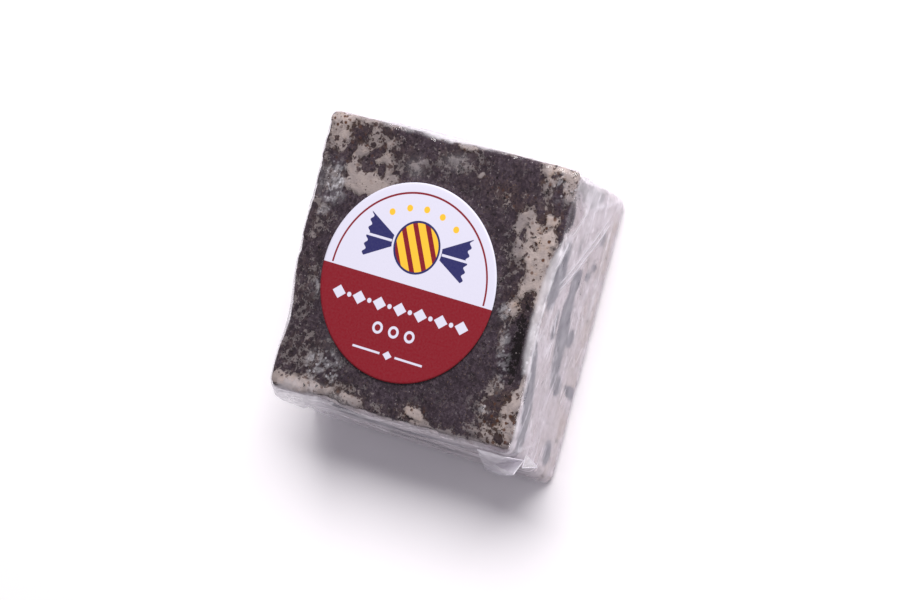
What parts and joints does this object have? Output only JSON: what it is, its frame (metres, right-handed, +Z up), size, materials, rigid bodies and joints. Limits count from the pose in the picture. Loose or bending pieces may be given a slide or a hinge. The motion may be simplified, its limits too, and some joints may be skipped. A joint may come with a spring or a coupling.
{
  "type": "cookies and cream fudge",
  "caption": "Hand-cut square of cookies and cream fudge in tight clear film with a round paper label on its big face, lying flat as a wrapped sweet.",
  "frame": {"origin": "centre of the bounding box's underside, on the surface that the wrapped block lies on", "axes": "+Z up out of the labelled face, +Y towards the label's top, +X towards the label's right"},
  "size_m": [0.067, 0.0692, 0.0232],
  "materials": {
    "fudge": "matte dark cookie crumb marbled with greyish cream fudge, uneven and crumbly",
    "film": "clear glossy wrapping film, tight over the face, milky where it is folded",
    "label": "smooth satin printed paper, pale above and red below"
  },
  "bodies": {
    "root": {"fudge": "fudge", "film": "film", "label": "label"}
  },
  "joints": []
}
